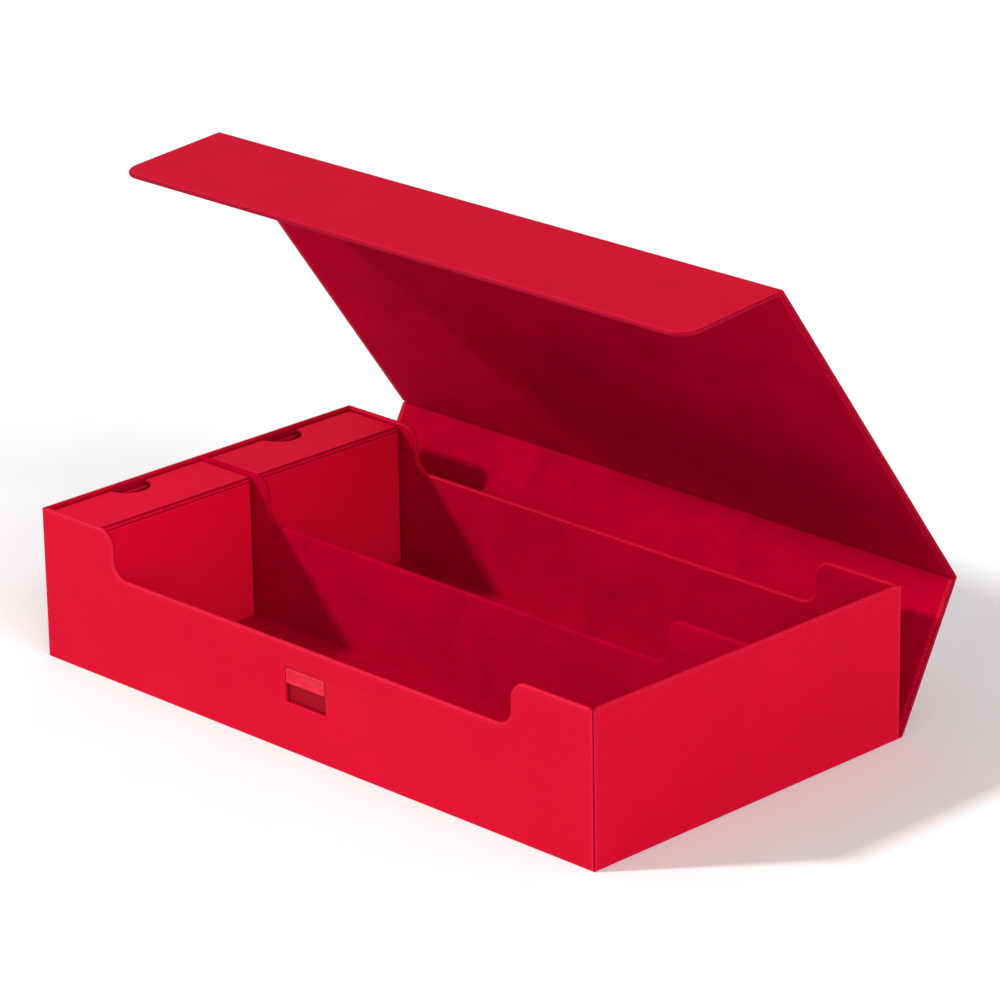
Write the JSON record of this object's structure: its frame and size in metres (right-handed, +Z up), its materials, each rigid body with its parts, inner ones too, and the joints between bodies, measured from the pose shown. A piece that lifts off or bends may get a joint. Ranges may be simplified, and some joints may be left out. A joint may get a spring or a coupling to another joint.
{
  "type": "card deck box",
  "caption": "Long card storage box with rows split by a divider, cut-down long walls, a folding magnetic cover of hinged panels, and lidded trays with thumb notches.",
  "frame": {"origin": "centre of the box's underside, on the surface that it stands on", "axes": "+Z up, +X along the card rows towards the end without trays, +Y to the back, where the cover hinges"},
  "size_m": [0.372, 0.245, 0.2399],
  "materials": {
    "leatherette": "satin",
    "crease": "satin",
    "microfibre": "matte",
    "greyboard": "matte",
    "steel": "satin",
    "name_plate": "satin"
  },
  "bodies": {
    "box": {"base_skin": "leatherette", "base_board": "greyboard", "front_wall_board": "greyboard", "rear_wall_board": "greyboard", "left_end_board": "greyboard", "right_end_board": "greyboard", "front_skin": "leatherette", "rear_skin": "leatherette", "left_skin": "leatherette", "right_skin": "leatherette", "divider_board": "greyboard", "divider_sleeve": "microfibre", "front_row_lining": "microfibre", "rear_row_lining": "microfibre", "window_backing": "leatherette", "name_plate": "name_plate", "front_keepers": "steel", "back_crease": "crease"},
    "back_panel": {"back_board": "greyboard", "back_skin": "leatherette", "back_lining": "microfibre", "top_crease": "crease"},
    "top_panel": {"top_board": "greyboard", "top_skin": "leatherette", "top_lining": "microfibre", "flap_crease": "crease"},
    "flap": {"flap_board": "greyboard", "flap_skin": "leatherette", "flap_lining": "microfibre", "flap_magnets": "steel"},
    "front_tray": {"front_tray_base": "greyboard", "front_tray_left_board": "greyboard", "front_tray_right_board": "greyboard", "front_tray_front_board": "greyboard", "front_tray_rear_board": "greyboard", "front_tray_skin": "leatherette", "front_tray_lining": "microfibre", "front_tray_crease": "crease"},
    "front_tray_lid": {"front_tray_lid_board": "greyboard", "front_tray_lid_skin": "leatherette", "front_tray_lid_lining": "microfibre"},
    "rear_tray": {"rear_tray_base": "greyboard", "rear_tray_left_board": "greyboard", "rear_tray_right_board": "greyboard", "rear_tray_front_board": "greyboard", "rear_tray_rear_board": "greyboard", "rear_tray_skin": "leatherette", "rear_tray_lining": "microfibre", "rear_tray_crease": "crease"},
    "rear_tray_lid": {"rear_tray_lid_board": "greyboard", "rear_tray_lid_skin": "leatherette", "rear_tray_lid_lining": "microfibre"}
  },
  "joints": [
    {"name": "back_hinge", "type": "hinge", "parent": "box", "child": "back_panel", "pos_m": [0, 0.1041, 0.0012], "axis": [-1, 0, 0], "range_deg": [-28.5, 61.5]},
    {"name": "cover_hinge", "type": "hinge", "parent": "back_panel", "child": "top_panel", "pos_m": [0, 0.14127, 0.06966], "axis": [-1, 0, 0], "range_deg": [-25.8, 64.2]},
    {"name": "flap_hinge", "type": "hinge", "parent": "top_panel", "child": "flap", "pos_m": [0, 0.01978, 0.23874], "axis": [-1, 0, 0], "range_deg": [-30.7, 59.3]},
    {"name": "front_tray_lift", "type": "slide", "parent": "box", "child": "front_tray", "axis": [0, 0, 1], "range_m": [0, 0.08]},
    {"name": "rear_tray_lift", "type": "slide", "parent": "box", "child": "rear_tray", "axis": [0, 0, 1], "range_m": [0, 0.045]},
    {"name": "front_tray_lid_hinge", "type": "hinge", "parent": "front_tray", "child": "front_tray_lid", "pos_m": [-0.1467, -0.0505, 0.0748], "axis": [0, 1, 0], "range_deg": [0, 180]},
    {"name": "rear_tray_lid_hinge", "type": "hinge", "parent": "rear_tray", "child": "rear_tray_lid", "pos_m": [-0.1467, 0.0505, 0.0748], "axis": [0, 1, 0], "range_deg": [0, 180]}
  ]
}
